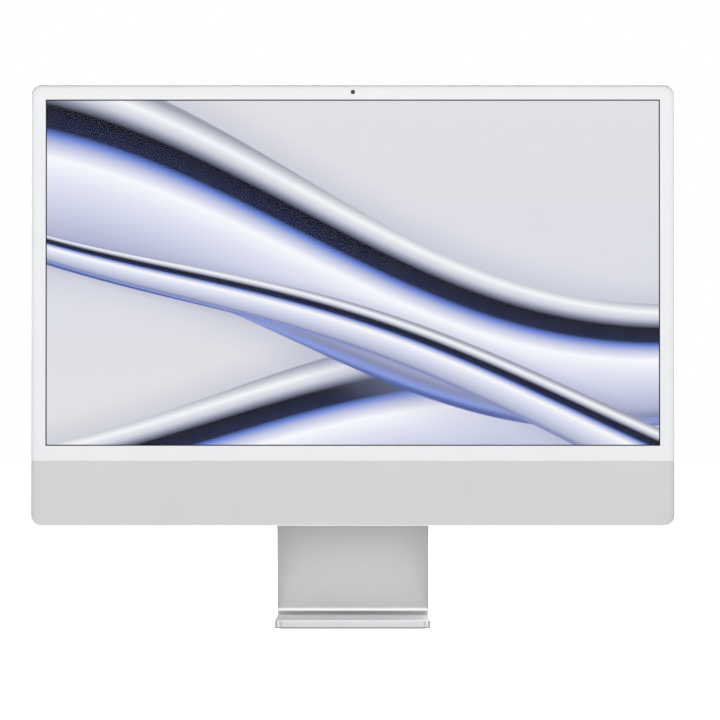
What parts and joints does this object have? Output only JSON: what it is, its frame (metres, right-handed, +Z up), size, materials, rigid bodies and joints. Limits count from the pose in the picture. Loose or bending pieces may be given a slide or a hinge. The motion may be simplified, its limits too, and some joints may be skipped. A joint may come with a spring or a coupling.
{
  "type": "all-in-one desktop computer",
  "caption": "Slim silver all-in-one desktop computer: flat display housing with the computer in its chin, tilting on a bent plate stand with a cable hole.",
  "frame": {"origin": "on the desk, under the middle of the foot", "axes": "+X to the right seen from the screen side, +Y from the screen to the back, +Z up"},
  "size_m": [0.547, 0.147, 0.4596],
  "materials": {
    "aluminium": "fine bead-blasted and clear anodised, silver",
    "glass": "polished, printed behind in pale grey and silver",
    "screen": "smooth display panel",
    "lens": "polished, dark",
    "acrylic": "clear sheet with a frosted back",
    "foam": "matt foam",
    "rubber": "matt, soft",
    "black_plastic": "satin moulded",
    "circuit": "lacquered circuit board",
    "steel": "satin",
    "copper": "bare copper, satin"
  },
  "bodies": {
    "stand": {"stand_leg": "aluminium", "foot_pad": "rubber", "hinge_cap_left": "aluminium", "hinge_cap_right": "aluminium", "counterbalance_spring_left": "steel", "counterbalance_spring_right": "steel", "friction_clip_left": "steel", "friction_clip_right": "steel"},
    "display_head": {"air_grille_left": "aluminium", "air_grille_right": "aluminium", "antenna_left": "circuit", "antenna_right": "circuit", "camera_lens": "lens", "camera_module": "black_plastic", "clock_battery": "steel", "cold_plate": "copper", "cover_glass": "glass", "data_port_1": "steel", "data_port_2": "steel", "data_port_3": "steel", "data_port_4": "steel", "display_back_tray": "aluminium", "display_cable": "copper", "fan_housing_left": "black_plastic", "fan_housing_right": "black_plastic", "fin_stack_left": "copper", "fin_stack_right": "copper", "glass_gasket": "foam", "headphone_jack": "black_plastic", "heat_pipe": "copper", "hinge_backing_plate": "steel", "hinge_bracket": "aluminium", "hinge_screw_1": "steel", "hinge_screw_2": "steel", "hinge_screw_3": "steel", "hinge_screw_4": "steel", "hinge_shaft": "steel", "lcd_panel": "screen", "led_light_bar": "circuit", "light_guide": "acrylic", "logic_board": "circuit", "port_board": "circuit", "power_inlet_contacts": "black_plastic", "power_inlet_cup": "steel", "power_switch": "black_plastic", "processor": "black_plastic", "rear_housing": "aluminium", "sensor_board": "circuit", "speaker_grille_left": "aluminium", "speaker_grille_right": "aluminium", "speaker_left": "black_plastic", "speaker_right": "black_plastic", "timing_board": "circuit", "woofer_left": "black_plastic", "woofer_right": "black_plastic"},
    "fan_rotor_left": {"fan_impeller_left": "black_plastic"},
    "fan_rotor_right": {"fan_impeller_right": "black_plastic"},
    "power_button_slide": {"power_button": "aluminium"}
  },
  "joints": [
    {"name": "display_tilt", "type": "hinge", "parent": "stand", "child": "display_head", "pos_m": [0, 0.018, 0.2206], "axis": [-1, 0, 0], "range_deg": [-5, 20]},
    {"name": "power_button_press", "type": "slide", "parent": "display_head", "child": "power_button_slide", "axis": [0, -1, 0], "range_m": [0, 0.0005], "stiffness_N_per_m": 800, "springref_m": -0.0005},
    {"name": "fan_left_spin", "type": "hinge", "parent": "display_head", "child": "fan_rotor_left", "pos_m": [-0.112, 0.0017, 0.1166], "axis": [0, 1, 0], "continuous": true},
    {"name": "fan_right_spin", "type": "hinge", "parent": "display_head", "child": "fan_rotor_right", "pos_m": [0.112, 0.0017, 0.1166], "axis": [0, 1, 0], "continuous": true}
  ]
}
